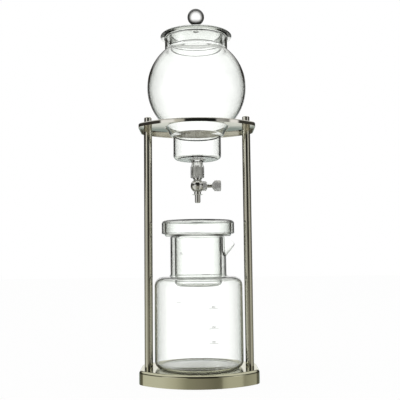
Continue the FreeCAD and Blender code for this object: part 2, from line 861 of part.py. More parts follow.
def packing_nut():
    """The six-sided nut that presses the packing."""
    body = new_body("packing_nut", along="x", across=s.shoulder_reach, up=valve_height)
    chamfered_hexagon(body, s.nut_corner, as_size(0), s.nut_length, s.nut_chamfer)
    circle_feature(body, "Pad", "collar", s.nut_collar, s.nut_length + s.nut_collar_length)
    inner_depth = s.boss_reach - s.shoulder_reach
    circle_feature(body, "Pocket", "thread_hole", s.gland_boss + s.thread_gap, inner_depth)
    circle_feature(body, "Pocket", "spindle_hole", s.spindle_radius + s.running_gap,
                   s.nut_length + s.nut_collar_length)


def spindle():
    """The valve's spindle: a tapered needle, a groove for its ring, and the stem that carries the knob."""
    body = new_body("spindle", along="x", up=valve_height)
    stem_end = s.knob_back + s.knob_socket
    groove_end = s.groove_place + s.groove_width
    turn(body, "form", [
        (0, -s.needle_reach),
        (s.needle_tip, -s.needle_reach),
        (s.needle_radius, s.needle_taper - s.needle_reach),
        (s.needle_radius, s.groove_place),
        (s.groove_radius, s.groove_place),
        (s.groove_radius, groove_end),
        (s.needle_radius, groove_end),
        (s.needle_radius, s.needle_step),
        (s.spindle_radius, s.needle_step),
        (s.spindle_radius, stem_end),
        (0, stem_end),
    ])


def spindle_ring():
    """The rubber ring in the spindle's groove."""
    middle = s.groove_place + s.groove_width / 2
    body = new_body("spindle_ring", along="x", across=middle, up=valve_height)
    section = new_sketch(body, "section", "XZ_Plane")
    draw_circle(section, s.groove_radius + s.thread_gap + s.ring_section, 0, s.ring_section)
    add(body, "Revolution", "form", section, ReferenceAxis=(section, ["V_Axis"]), Angle=360)


def valve_knob():
    """The six-sided knob with a conical back and a shallow recess in its end."""
    body = new_body("valve_knob", along="x", across=s.knob_back, up=valve_height)
    flat = s.knob_corner * root(as_size(3)) / 2
    chamfered_hexagon(body, s.knob_corner, s.knob_cone, s.knob_length, s.knob_chamfer)
    turn(body, "cone", [
        (0, 0),
        (s.knob_back_radius, 0),
        (flat, s.knob_cone),
        (0, s.knob_cone),
    ])
    circle_feature(body, "Pocket", "stem_socket", s.spindle_radius + s.press_gap, s.knob_socket)
    circle_feature(body, "Pocket", "end_recess", s.knob_recess_radius, s.knob_recess,
                   s.knob_cone + s.knob_length, upward=False)


def basket_glass():
    """The coffee basket: a wide dish on the carafe's rim over a narrow cylinder with drip holes."""
    body = new_body("basket_glass", up=basket_floor)
    wall = s.basket_wall
    inside = basket_radius - wall
    corner_inside = s.basket_corner - wall
    dish_inside = dish_radius - wall
    dish_corner_inside = s.dish_corner - wall
    dish_floor = s.basket_depth + wall
    blend = s.basket_blend
    turn(body, "form", [
        (0, 0),
        (basket_radius - s.basket_corner, 0),
        (basket_radius, s.basket_corner, s.basket_corner, LEFT),
        (basket_radius, s.basket_depth - blend),
        (basket_radius + blend, s.basket_depth, blend, RIGHT),
        (dish_radius - s.dish_corner, s.basket_depth),
        (dish_radius, s.basket_depth + s.dish_corner, s.dish_corner, LEFT),
        (dish_radius, dish_rim - wall / 2),
        (dish_inside, dish_rim - wall / 2, wall / 2, LEFT),
        (dish_inside, dish_floor + dish_corner_inside),
        (dish_inside - dish_corner_inside, dish_floor, dish_corner_inside, RIGHT),
        (inside + blend, dish_floor),
        (inside, dish_floor - blend, blend, LEFT),
        (inside, s.basket_corner),
        (inside - corner_inside, wall, corner_inside, RIGHT),
        (0, wall),
    ])
    circle_feature(body, "Pocket", "middle_hole", s.drip_hole, wall)
    hole = circle_feature(body, "Pocket", "ring_hole", s.drip_hole, wall, centres=[(s.drip_circle, 0)])
    pattern(body, hole, "ring_holes", DRIP_HOLES)


def basket_lid():
    """The basket's cap: a flat top with a drip hole, and a skirt around the dish."""
    body = new_body("basket_lid", up=cover_top - s.cover_height)
    wall = s.cover_wall
    inside = cover_radius - wall
    corner_inside = s.cover_corner - wall
    under = s.cover_height - wall
    turn(body, "form", [
        (s.cover_hole + wall / 2, under, wall / 2, LEFT),
        (inside - corner_inside, under),
        (inside, under - corner_inside, corner_inside, RIGHT),
        (inside, wall / 2),
        (cover_radius, wall / 2, wall / 2, LEFT),
        (cover_radius, s.cover_height - s.cover_corner),
        (cover_radius - s.cover_corner, s.cover_height, s.cover_corner, LEFT),
        (s.cover_hole + wall / 2, s.cover_height),
    ])


def spout_section(half_width, low, high):
    """A trough section of the spout: a round bottom between two upright sides."""
    return [
        (-half_width, low + half_width),
        (half_width, low + half_width, half_width, LEFT),
        (half_width, high),
        (-half_width, high),
    ]


def spout_loft(body, kind, name, sections):
    """A form or a cut that runs straight from one trough section to the next."""
    sketches = []
    for end, place, half_width, low, high in sections:
        sketch = new_sketch(body, f"{name}_{end}", "YZ_Plane", place)
        draw(sketch, spout_section(half_width, low, high))
        sketches.append(sketch)
    return add(body, kind, f"{name}_form", sketches[0], Sections=sketches[1:], Ruled=True)


def carafe_glass():
    """The carafe: a pushed-up floor, a rounded shoulder, a straight neck and a pulled spout."""
    body = new_body("carafe_glass", up=carafe_floor)
    wall = s.carafe_wall
    neck_inside = s.carafe_neck - wall
    inside = s.carafe_radius - wall
    corner_inside = s.carafe_corner - wall
    shoulder_edge = s.carafe_radius - s.shoulder_round
    shoulder_inside = s.shoulder_round - wall
    blend_edge = s.carafe_neck + s.carafe_blend
    rim = s.carafe_height
    punt = (s.foot_ring * s.foot_ring + s.punt_rise * s.punt_rise) / (s.punt_rise * 2)
    turn(body, "outside", [
        (0, s.punt_rise),
        (s.foot_ring, 0, punt, RIGHT),
        (s.carafe_radius - s.carafe_corner, 0),
        (s.carafe_radius, s.carafe_corner, s.carafe_corner, LEFT),
        (s.carafe_radius, s.shoulder_height - s.shoulder_round),
        (shoulder_edge, s.shoulder_height, s.shoulder_round, LEFT),
        (blend_edge, s.shoulder_height),
        (s.carafe_neck, s.shoulder_height + s.carafe_blend, s.carafe_blend, RIGHT),
        (s.carafe_neck, rim - wall / 2),
        (s.carafe_neck - wall / 2, rim, wall / 2, LEFT),
        (0, rim),
    ])
    spout_root = s.carafe_neck - s.spout_sink
    spout_reach = s.carafe_neck + s.spout_length
    tip_high = rim - s.spout_tip_drop
    tip_low = tip_high - s.spout_tip_depth
    low_slope = (tip_low - rim + s.spout_base_drop) / s.spout_length
    root_low = rim - s.spout_base_drop - low_slope * s.spout_sink
    root_high = rim + s.spout_tip_drop / s.spout_length * s.spout_sink
    sections = (
        ("near", spout_root, s.spout_root_half_width, root_low, root_high),
        ("tip", spout_reach, s.spout_tip_half_width, tip_low, tip_high),
    )
    spout_loft(body, "AdditiveLoft", "spout", sections)
    turn(body, "inside", [
        (0, s.punt_rise + wall),
        (leg(punt + wall, punt + wall - s.punt_rise), wall, punt + wall, RIGHT),
        (inside - corner_inside, wall),
        (inside, s.carafe_corner, corner_inside, LEFT),
        (inside, s.shoulder_height - s.shoulder_round),
        (shoulder_edge, s.shoulder_height - wall, shoulder_inside, LEFT),
        (blend_edge, s.shoulder_height - wall),
        (neck_inside, s.shoulder_height + s.carafe_blend, s.carafe_blend + wall, RIGHT),
        (neck_inside, rim - wall / 2),
        (neck_inside + wall / 2, rim, wall / 2, RIGHT),
        (neck_inside + wall / 2, rim + wall),
        (0, rim + wall),
    ], "Groove")
    channel = [
        (name, place, half_width - s.spout_wall, low + s.spout_floor, high + wall)
        for name, place, half_width, low, high in sections
    ]
    spout_loft(body, "SubtractiveLoft", "channel", channel)
    above = new_sketch(body, "rim_outline", "XZ_Plane")
    draw(above, [
        (spout_root - wall, rim),
        (spout_reach, rim),
        (spout_reach, root_high + wall),
        (spout_root - wall, root_high + wall),
    ])
    add(body, "Pocket", "rim_cut", above, Length=(s.spout_root_half_width + wall) * 2, Midplane=True)


PIECES = [
    base_shell, base_weight, bottom_plate, cover_screws, foot_pads, top_ring,
    tank_glass, tank_lid, stopper, inlet_tube, valve_body, drip_nozzle, packing_ring, packing_nut,
    spindle, spindle_ring, valve_knob, basket_glass, basket_lid, carafe_glass,
]
for make in PIECES:
    make()
for side_name, side_sign in SIDES.items():
    for make in (post, cap_nut, post_washer, post_screw):
        make(side_name, side_sign)
doc.recompute()

failed = [item.Name for item in doc.Objects if "Invalid" in item.State or "Error" in item.State]
if failed:
    raise RuntimeError(f"These did not build: {failed}")
for piece in pieces:
    if piece.Shape.isNull() or not piece.Shape.isValid():
        raise RuntimeError(f"{piece.Label} has no sound shape")

os.makedirs("parts", exist_ok=True)
for piece in pieces:
    piece.Shape.exportStep(f"parts/{piece.Label}.step")
    print(f"{piece.Label}: {len(piece.Shape.Solids)} solid, {piece.Shape.Volume / 1000:.2f} cm3")
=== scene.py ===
# %% [markdown]
# # A cold drip coffee tower
# Iced water drips from a blown glass tank, through a needle valve, into ground coffee in a glass basket,
# and the brew gathers in a carafe. Two polished posts and two stamped steel plates hold it all.
# The frame already has every solid at its real size, so this lesson is about finishes, printed scales,
# light and the camera.

# %% The frame
import math
import bpy
from mathutils import Matrix, Vector


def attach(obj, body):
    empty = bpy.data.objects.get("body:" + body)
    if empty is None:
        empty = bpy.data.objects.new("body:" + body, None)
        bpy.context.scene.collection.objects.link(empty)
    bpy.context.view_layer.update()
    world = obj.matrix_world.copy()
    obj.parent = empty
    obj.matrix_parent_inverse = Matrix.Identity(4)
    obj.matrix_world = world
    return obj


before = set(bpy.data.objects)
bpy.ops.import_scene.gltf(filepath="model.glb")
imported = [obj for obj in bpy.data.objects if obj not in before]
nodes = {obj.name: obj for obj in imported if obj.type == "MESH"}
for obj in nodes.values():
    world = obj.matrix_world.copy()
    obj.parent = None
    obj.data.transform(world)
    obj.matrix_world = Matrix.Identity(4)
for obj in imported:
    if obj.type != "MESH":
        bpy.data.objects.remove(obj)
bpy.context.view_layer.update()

MM = 0.001
bpy.ops.object.select_all(action="DESELECT")

# %% [markdown]
# ## The camera
# The tower was seen from nearly one metre away, a little below its middle, with the lens tipped up by
# under five degrees. A long lens keeps the posts almost parallel. The camera is turned by a fraction of a
# degree about its own view, because the real one was not quite level. A constraint could aim it at the
# tower, but it would hold the camera level, so a matrix places it.

# %% The camera
CAMERA_PLACE = Vector((3.2, -901.8, 169.5)) * MM
CAMERA_TILT = math.radians(94.691)
CAMERA_ROLL = math.radians(-0.618)
FOCAL_PIXELS = 658.8
FRAME_PIXELS = 400
SENSOR_MM = 36

camera_data = bpy.data.cameras.new("camera")
camera_data.sensor_width = SENSOR_MM
camera_data.lens = FOCAL_PIXELS * SENSOR_MM / FRAME_PIXELS
camera = bpy.data.objects.new("camera", camera_data)
bpy.context.scene.collection.objects.link(camera)
tilt = Matrix.Rotation(CAMERA_TILT, 4, "X")
roll = Matrix.Rotation(CAMERA_ROLL, 4, "Z")
camera.matrix_world = Matrix.Translation(CAMERA_PLACE) @ tilt @ roll
bpy.context.scene.camera = camera
bpy.context.scene.view_settings.view_transform = "Standard"
print("lens in mm:", round(camera_data.lens, 1))

# %% [markdown]
# ## Helpers for finishes
# Colours are written as they look on a screen, in hexadecimal, and one function turns them to the linear
# values that the renderer works with. Another adds a shader node and fills in its settings and inputs. An
# input goes by its name, or by its number where several share one name, as on Mix and Math nodes.


# %% Helpers for finishes
def linear(hex_colour):
    """A screen colour such as "c8c5bd" as linear red, green, blue and a full alpha."""
    values = [int(hex_colour[i:i + 2], 16) / 255 for i in (0, 2, 4)]
    return [v / 12.92 if v <= 0.04045 else ((v + 0.055) / 1.055) ** 2.4 for v in values] + [1.0]


def add_node(tree, kind, inputs=None, stops=None, **settings):
    """Adds a node. An input is a plain value, or the output of another node to link.
    Stops are the places, from 0 to 1, and colours of a colour ramp."""
    node = tree.nodes.new(kind)
    for name, value in settings.items():
        setattr(node, name, value)
    for name, value in (inputs or {}).items():
        if isinstance(value, bpy.types.NodeSocket):
            tree.links.new(value, node.inputs[name])
        else:
            node.inputs[name].default_value = value
    if stops:
        on_ramp = node.color_ramp.elements
        for place, colour in stops[1:-1]:
            on_ramp.new(place).color = linear(colour)
        on_ramp[0].color = linear(stops[0][1])
        on_ramp[len(on_ramp) - 1].color = linear(stops[-1][1])
    return node


# Where a Mix node of colours keeps its share of the second, its two colours and the colour that it gives
SHARE, FIRST, SECOND, MIXED = 0, 6, 7, 2
print("middle grey in linear light:", round(linear("808080")[0], 3))

# %% [markdown]
# ## Patterns that finishes share
# Polishing leaves fine lines that run the way the wheel went. They are noise, stretched along the line and
# kept close across it, and they lift the surface by hundredths of a millimetre. Real ones are too fine to
# show, so these are drawn about half a millimetre apart. The shader's own Anisotropic could stretch the
# reflections too, but it needs a tangent, and noise read from Object coordinates needs none. Handling
# leaves soft smears, which only change how sharp a reflection is.


# %% Patterns that finishes share
def per_metre(spacing_mm):
    """The scale of a pattern whose features lie this many millimetres apart."""
    return 1 / (spacing_mm * MM)


def object_point(tree, centre_mm=(0, 0, 0), scale=(1, 1, 1)):
    """Object coordinates about a point, with each direction scaled."""
    coordinates = add_node(tree, "ShaderNodeTexCoord")
    place = [-c * MM * k for c, k in zip(centre_mm, scale)]
    return add_node(tree, "ShaderNodeMapping", {
        "Vector": coordinates.outputs["Object"], "Location": place, "Scale": scale,
    }).outputs["Vector"]


NOISE_LOW, NOISE_HIGH = 0.35, 0.65  # most of a noise texture's values lie between these


def smears(tree, low, high, spacing_mm):
    """A roughness that wanders between two values, as a wiped surface does."""
    noise = add_node(tree, "ShaderNodeTexNoise", {
        "Vector": object_point(tree), "Scale": per_metre(spacing_mm), "Detail": 4, "Roughness": 0.6,
    })
    return add_node(tree, "ShaderNodeMapRange", {
        "Value": noise.outputs["Fac"], "From Min": NOISE_LOW, "From Max": NOISE_HIGH,
        "To Min": low, "To Max": high,
    }).outputs["Result"]


def fine_lines(tree, scale, spacing_mm, height_mm, strength):
    """Polishing lines as a bump, long where the scale is small and close where it is one."""
    noise = add_node(tree, "ShaderNodeTexNoise", {
        "Vector": object_point(tree, scale=scale), "Scale": per_metre(spacing_mm), "Detail": 2,
    })
    return add_node(tree, "ShaderNodeBump", {
        "Height": noise.outputs["Fac"], "Distance": height_mm * MM, "Strength": strength,
    }).outputs["Normal"]


print("scale of lines half a millimetre apart:", round(per_metre(0.5)))

# %% [markdown]
# ## From a shader to a finish
# Every finish here has one Principled shader. Most also have smears, and many a grain, so one function puts
# the three together. The grain's scale says which way the wheel or the rollers went.


# %% From a shader to a finish
def new_finish(name, **inputs):
    """A material with one Principled shader, its inputs set by name."""
    material = bpy.data.materials.new(name)
    material.use_nodes = True
    tree = material.node_tree
    tree.nodes.clear()
    named = {key.replace("_", " "): value for key, value in inputs.items()}
    shader = add_node(tree, "ShaderNodeBsdfPrincipled", named)
    add_node(tree, "ShaderNodeOutputMaterial", {"Surface": shader.outputs["BSDF"]})
    return material, tree, shader


def worked_finish(name, colour, smeared, grain=None, **inputs):
    """A finish that was worked and handled. Smeared is its least and most roughness, and the mm between
    smears. Grain is its direction, the mm between lines, their height in mm and how strongly they show."""
    material, tree, shader = new_finish(name, Base_Color=linear(colour), **inputs)
    tree.links.new(smears(tree, *smeared), shader.inputs["Roughness"])
    if grain:
        tree.links.new(fine_lines(tree, *grain), shader.inputs["Normal"])
    return material


LEVEL = (0.05, 0.05, 1)
UPRIGHT = (1, 1, 0.03)
ALONG_X = (0.1, 1, 1)
ROLLED_ALONG_X = (0.03, 1, 1)
NO_DIRECTION = (1, 1, 1)
print("a level line is", round(1 / LEVEL[0]), "times as long as it is high")

# %% [markdown]
# ## Stainless steel
# The upper plate is pressed from stainless sheet and buffed nearly to a mirror, and the cap nuts shine as
# much. The base is pressed too but buffed less, so its reflections run together into soft bands. The posts
# are drawn tube, polished along their length. All are warm grey metal, the base the warmest, and how sharp
# the reflection is tells them apart most.

# %% Stainless steel
buffed_plate = worked_finish(
    "buffed_stainless_plate", "dedbd2", (0.02, 0.04, 14), (LEVEL, 0.6, 0.01, 0.05), Metallic=1.0)
satin_base = worked_finish(
    "satin_stainless_base", "cfcdb2", (0.10, 0.14, 14), (LEVEL, 0.6, 0.01, 0.06), Metallic=1.0)
drawn_post = worked_finish(
    "drawn_stainless_tube", "cfccbd", (0.10, 0.16, 14), (UPRIGHT, 0.5, 0.01, 0.02), Metallic=1.0)
print("stainless steel:", [steel.name for steel in (buffed_plate, satin_base, drawn_post)])

# %% [markdown]
# ## Chromed brass
# The valve is turned from brass, polished and chromed. Chrome is a touch bluer and brighter than stainless
# steel, and it has no grain at all, only a little unevenness left from the polishing under it. The knob and
# the nut behind it were brushed before they were chromed, so that they grip, and they look an even pale
# grey. They are only two thirds metallic here, which adds the even light that fine brushing scatters.

# %% Chromed brass
chrome = worked_finish(
    "chromed_brass", "e4e4e2", (0.02, 0.05, 5), (NO_DIRECTION, 3, 0.01, 0.1), Metallic=1.0)
satin_chrome = worked_finish(
    "satin_chromed_brass", "e2e2e0", (0.22, 0.30, 4), (ALONG_X, 0.4, 0.02, 0.3), Metallic=0.65)
print("chromed brass:", [chromed.name for chromed in (chrome, satin_chrome)])

# %% [markdown]
# ## Silicone
# The stopper is moulded silicone, pale grey and matt. A fine uneven skin spreads the light, and an index of
# 1.41, lower than glass has, keeps its shine weak.

# %% Silicone
silicone = worked_finish(
    "moulded_grey_silicone", "dededa", (0.42, 0.55, 2), (NO_DIRECTION, 0.5, 0.02, 0.3), IOR=1.41)
print("stopper:", silicone.name)

# %% [markdown]
# ## Black rubber
# The feet and the ring on the spindle are moulded black rubber. It is dark and hardly shines, with a skin
# of fine grains.

# %% Black rubber
rubber = worked_finish("black_foot_rubber", "1d1d1c", (0.7, 0.85, 3), (NO_DIRECTION, 0.4, 0.04, 0.5))
print("feet and ring:", rubber.name)

# %% [markdown]
# ## White packing
# The ring under the packing nut is cut from white fluoroplastic, which is smooth, a little waxy and low in
# its index. It needs smears but no grain.

# %% White packing
packing = worked_finish("white_fluoroplastic", "e6e5df", (0.4, 0.5, 2), IOR=1.35)
print("packing:", packing.name)

# %% [markdown]
# ## Painted cast iron
# The ballast in the base is sand cast iron in black paint. The sand leaves a coarse skin, nearly a
# millimetre from bump to bump, and it shows through the paint.

# %% Painted cast iron
painted_iron = worked_finish(
    "painted_cast_iron", "2b2c2d", (0.5, 0.65, 6), (NO_DIRECTION, 0.9, 0.12, 0.8))
print("ballast:", painted_iron.name)

# %% [markdown]
# ## Plain steel
# The cover below the base, the screws, the washers and the inlet tube are plain steel straight from the
# mill, with soft reflections and the lines of the rollers.

# %% Plain steel
mill_steel = worked_finish(
    "mill_finish_steel", "b9b8b3", (0.35, 0.45, 20), (ROLLED_ALONG_X, 0.5, 0.02, 0.3), Metallic=1.0)
print("cover, screws and inlet tube:", mill_steel.name)

# %% [markdown]
# ## Blown borosilicate glass
# Laboratory glass bends light a little less than window glass does, with an index of about 1.47. Blown
# walls are never quite even: slow waves some centimetres apart bend the lines seen through them. A wall
# could be a single sheet with a made-up bend. Here each is a solid with two surfaces, so light bends in it
# as in the real one. Along the edges, where the wall turns away from the eye, its colour turns grey. Part
# of this is a faint tint, where light passes through the most glass. Most of it is painted shade that
# stands for the dark surroundings that those edges bend into view. A Layer Weight node measures how far the
# wall turns away, and a colour ramp gives the tint and painted shade for it.


# %% Blown borosilicate glass
def edge_tint_and_shade(tree, turns_away):
    """The glass's faint tint and painted edge shade in steps, from facing the eye (0) to turned fully away
    from it (1).
    """
    away = add_node(tree, "ShaderNodeLayerWeight", {"Blend": 0.5})
    tint_and_shade = add_node(tree, "ShaderNodeValToRGB", {"Fac": away.outputs["Facing"]}, stops=turns_away)
    return tint_and_shade.outputs["Color"]


# The grey towards 1 is painted shade for the dark surroundings that the edges bend into view, over a faint
# real tint
THIN_WALL_TINT_AND_SHADE = [(0, "fefffe"), (0.2, "fcfdfc"), (0.62, "f4f6f3"), (0.9, "bcbeb9"), (1, "aaaca7")]
WAVES_APART = 26
WAVES_HIGH = 0.4


def blown_glass(name):
    """Clear glass with slow waves in its walls, and its tint with painted edge shade, which a finish can
    change in places.
    """
    material, tree, shader = new_finish(name, Roughness=0.0, IOR=1.47, Transmission_Weight=1.0)
    tint_and_shade = edge_tint_and_shade(tree, THIN_WALL_TINT_AND_SHADE)
    tree.links.new(tint_and_shade, shader.inputs["Base Color"])
    waves = add_node(tree, "ShaderNodeTexNoise", {
        "Vector": object_point(tree), "Scale": per_metre(WAVES_APART), "Detail": 1, "Roughness": 0.4,
    })
    wavy = add_node(tree, "ShaderNodeBump", {
        "Height": waves.outputs["Fac"], "Distance": WAVES_HIGH * MM, "Strength": 0.25,
    })
    tree.links.new(wavy.outputs["Normal"], shader.inputs["Normal"])
    return material, tree, shader, tint_and_shade


glass = blown_glass("blown_borosilicate_glass")[0]
print("glass:", glass.name, "with waves", WAVES_APART, "mm apart")

# %% [markdown]
# ## The ground joint
# The tank's outlet is ground with grit where the stopper fits, so it is frosted there, with fine streaks
# that run up and down. The frost lies within ten millimetres of the joint's middle, and fades out over one
# more. It could be a second material on some faces, but then it would end along the edges of faces, so one
# finish reads the height and mixes the frost in, both its tint and its roughness.

# %% The ground joint
JOINT_MIDDLE = (0, 0, 285.5)
FROST_REACH = 10
FROST_FADE = 1
FROST_ROUGHNESS = 0.3
STREAKS_APART = 1.6
STREAKS_UPRIGHT = (1, 1, 0.04)

tank_finish, tree, shader, clear_tint_and_shade = blown_glass("blown_glass_with_ground_joint")
from_middle = add_node(tree, "ShaderNodeSeparateXYZ", {"Vector": object_point(tree, JOINT_MIDDLE)})
far_from_it = add_node(tree, "ShaderNodeMath", {0: from_middle.outputs["Z"]}, operation="ABSOLUTE")
frost = add_node(tree, "ShaderNodeMapRange", {
    "Value": far_from_it.outputs["Value"],
    "From Min": (FROST_REACH + FROST_FADE) * MM, "From Max": FROST_REACH * MM,
})
streaks = add_node(tree, "ShaderNodeTexNoise", {
    "Vector": object_point(tree, scale=STREAKS_UPRIGHT), "Scale": per_metre(STREAKS_APART), "Detail": 2,
})
streak_shade = add_node(tree, "ShaderNodeMapRange", {
    "Value": streaks.outputs["Fac"], "From Min": NOISE_LOW, "From Max": NOISE_HIGH,
})
frost_colour = add_node(tree, "ShaderNodeMix", {
    SHARE: streak_shade.outputs["Result"], FIRST: linear("e4e5e0"), SECOND: linear("ffffff"),
}, data_type="RGBA")
# Outside the frost the glass keeps its faint tint and painted edge shade
joint_tint_and_shade = add_node(tree, "ShaderNodeMix", {
    SHARE: frost.outputs["Result"], FIRST: clear_tint_and_shade, SECOND: frost_colour.outputs[MIXED],
}, data_type="RGBA")
tree.links.new(joint_tint_and_shade.outputs[MIXED], shader.inputs["Base Color"])
rough = add_node(tree, "ShaderNodeMath", {
    0: frost.outputs["Result"], 1: FROST_ROUGHNESS,
}, operation="MULTIPLY")
tree.links.new(rough.outputs["Value"], shader.inputs["Roughness"])
print("frosted from", JOINT_MIDDLE[2] - FROST_REACH, "to", JOINT_MIDDLE[2] + FROST_REACH, "mm")

# %% [markdown]
# ## The lid and its solid ball
# The ball on the lid is solid, so it bends light far more than a wall does, and most of its outer part
# shows the dark sides of the room. That dark is painted shade in the glass's colour: above the lid's dome
# the glass darkens to near black sooner as it turns away. The lid and its ball are one piece, so height
# again says where the one ends and the other begins.

# %% The lid and its solid ball
# Painted shade: the ball's colour falls to near black as it turns away, for the dark room that it shows
SOLID_BALL_SHADE = [(0, "ffffff"), (0.12, "f4f4f3"), (0.24, "7c7c7a"), (0.36, "121211"), (1, "060606")]
BALL_FOOT = (0, 0, 488)

lid_finish, tree, shader, wall_tint_and_shade = blown_glass("blown_glass_with_solid_ball")
above_dome = add_node(tree, "ShaderNodeSeparateXYZ", {"Vector": object_point(tree, BALL_FOOT)})
in_ball = add_node(tree, "ShaderNodeMath", {
    0: above_dome.outputs["Z"], 1: 0.0,
}, operation="GREATER_THAN")
lid_tint_and_shade = add_node(tree, "ShaderNodeMix", {
    SHARE: in_ball.outputs["Value"], FIRST: wall_tint_and_shade, SECOND: edge_tint_and_shade(tree, SOLID_BALL_SHADE),
}, data_type="RGBA")
tree.links.new(lid_tint_and_shade.outputs[MIXED], shader.inputs["Base Color"])
print("the ball begins at", BALL_FOOT[2], "mm")

# %% [markdown]
# ## Putting the finishes on
# A solid whose shape is right keeps its mesh and only gets a finish. The list goes from the ground up, so
# that no piece is forgotten.

# %% Putting the finishes on
FINISHES = {
    "foot_pads": rubber,
    "bottom_plate": mill_steel,
    "cover_screws": mill_steel,
    "base_weight": painted_iron,
    "base_shell": satin_base,
    "post_screw_left": mill_steel,
    "post_screw_right": mill_steel,
    "post_washer_left": mill_steel,
    "post_washer_right": mill_steel,
    "post_left": drawn_post,
    "post_right": drawn_post,
    "carafe_glass": glass,
    "basket_glass": glass,
    "basket_lid": glass,
    "drip_nozzle": chrome,
    "valve_body": chrome,
    "spindle": chrome,
    "spindle_ring": rubber,
    "packing_ring": packing,
    "packing_nut": satin_chrome,
    "valve_knob": satin_chrome,
    "inlet_tube": mill_steel,
    "stopper": silicone,
    "top_ring": buffed_plate,
    "cap_nut_left": buffed_plate,
    "cap_nut_right": buffed_plate,
    "tank_glass": tank_finish,
    "tank_lid": lid_finish,
}
for name, finish in FINISHES.items():
    for material_slot in nodes[name].material_slots:
        material_slot.material = finish
print("finished nodes:", len(FINISHES), "left over:", sorted(set(nodes) - set(FINISHES)))

# %% [markdown]
# ## Printed ink
# The carafe and the basket have thin printed marks: short level lines, most with a plain number above.
# They are drawn flat first, with the text tool and a grid, and then wrapped round the glass, because ink
# lies on the wall and follows its curve. They could be an image on the glass, but faces stay sharp from
# close by and need no file. Each mark stands 0.05 mm off the wall so that it never sinks in.

# %% Printed ink
printed_ink = worked_finish("printed_grey_ink", "6c6e69", (0.45, 0.6, 1))
INK_LIFT = 0.05 * MM


def wrap_round(piece, radius, angle, height):
    """Wraps a flat mark round an upright wall. The angle is from the front, to the right."""
    for vertex in piece.data.vertices:
        turn = angle + vertex.co.x / radius
        vertex.co = Vector((radius * math.sin(turn), -radius * math.cos(turn), height + vertex.co.y))


print("ink:", printed_ink.name)

# %% [markdown]
# ## Lines and numbers
# A line is a grid, cut across so that it can bend, and a number is made of the text tool's own letters,
# turned to a mesh. One function then prints a whole scale, and each mark rides on the body that carries
# the glass.

# %% Lines and numbers
LINE_THICK = 0.35
LINE_CUTS = 12
NUMBER_SIZE = 3.4
NUMBER_OVER_LINE = 0.9


def printed_line(name, width_mm):
    """A flat level line, cut across often enough to bend round a wall."""
    bpy.ops.object.select_all(action="DESELECT")
    bpy.ops.mesh.primitive_grid_add(x_subdivisions=LINE_CUTS, y_subdivisions=1, size=1)
    mark = bpy.context.object
    mark.name = name
    for vertex in mark.data.vertices:
        vertex.co.x = vertex.co.x * width_mm * MM
        vertex.co.y = vertex.co.y * LINE_THICK * MM
    return mark


def printed_number(name, words):
    """A flat number in the plain built-in letter shapes, as a mesh."""
    bpy.ops.object.select_all(action="DESELECT")
    bpy.ops.object.text_add()
    mark = bpy.context.object
    mark.data.body = words
    mark.data.size = NUMBER_SIZE * MM
    mark.data.align_x = "CENTER"
    bpy.ops.object.convert(target="MESH")
    mark = bpy.context.object
    mark.name = name
    return mark


def put_marks(prefix, body, radius_mm, angle_deg, marks):
    """Prints one scale: each mark is a height, a number or None, and the length of its line."""
    for index, (height_mm, words, width_mm) in enumerate(marks):
        made = [(printed_line(f"{prefix}_line_{index}", width_mm), 0)]
        if words:
            made.append((printed_number(f"{prefix}_number_{index}", words), NUMBER_OVER_LINE))
        for mark, over_mm in made:
            height = height_mm * MM + over_mm * MM
            wrap_round(mark, radius_mm * MM + INK_LIFT, math.radians(angle_deg), height)
            mark.data.materials.clear()
            mark.data.materials.append(printed_ink)
            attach(mark, body)


# The outer radius of each wall where its marks are, in millimetres
CARAFE_WALL = 59.7
BASKET_WALL = 32.1
put_marks("carafe_scale", "carafe", CARAFE_WALL, 18.5, [
    (56.5, "200", 13), (75.0, "300", 13), (100.2, "400", 13),
])
put_marks("carafe_fill_line", "carafe", CARAFE_WALL, -25, [(108.2, None, 6)])
put_marks("basket_scale", "basket", BASKET_WALL, -44, [(168.9, "30", 8)])

# %% [markdown]
# ## The studio that metal mirrors
# Glass and polished metal show what stands around them, so the surroundings are designed before the lamps.
# Polished metal mirrors a studio. It could be built of glowing planes, but those would also show through
# the glass, so it is laid out by direction in the world shader. There it stays where it is when the tower
# is seen from another side. This cell measures a direction's turn: 0 is straight behind by way of the left,
# one half is the front, and 1 is straight behind by way of the right.

# %% The studio that metal mirrors
world = bpy.data.worlds.new("studio")
bpy.context.scene.world = world
world.use_nodes = True
tree = world.node_tree
tree.nodes.clear()
direction = add_node(tree, "ShaderNodeSeparateXYZ", {
    "Vector": add_node(tree, "ShaderNodeTexCoord").outputs["Generated"],
})
toward_front = add_node(tree, "ShaderNodeMath", {0: direction.outputs["Y"], 1: -1.0}, operation="MULTIPLY")
around = add_node(tree, "ShaderNodeMath", {
    0: direction.outputs["X"], 1: toward_front.outputs["Value"],
}, operation="ARCTAN2")
turn_share = add_node(tree, "ShaderNodeMapRange", {
    "Value": around.outputs["Value"], "From Min": -math.pi, "From Max": math.pi,
})
print("world:", world.name)

# %% [markdown]
# ## Panels round the tower
# Pale panels to the left and the right draw long highlights down the posts, and the dark room beyond the
# camera puts the dark band between them. Each list goes once round the tower, in degrees from the front to
# the right. There is one for directions that climb, one for those that run nearly level and one for those
# that fall, and each becomes a colour ramp.

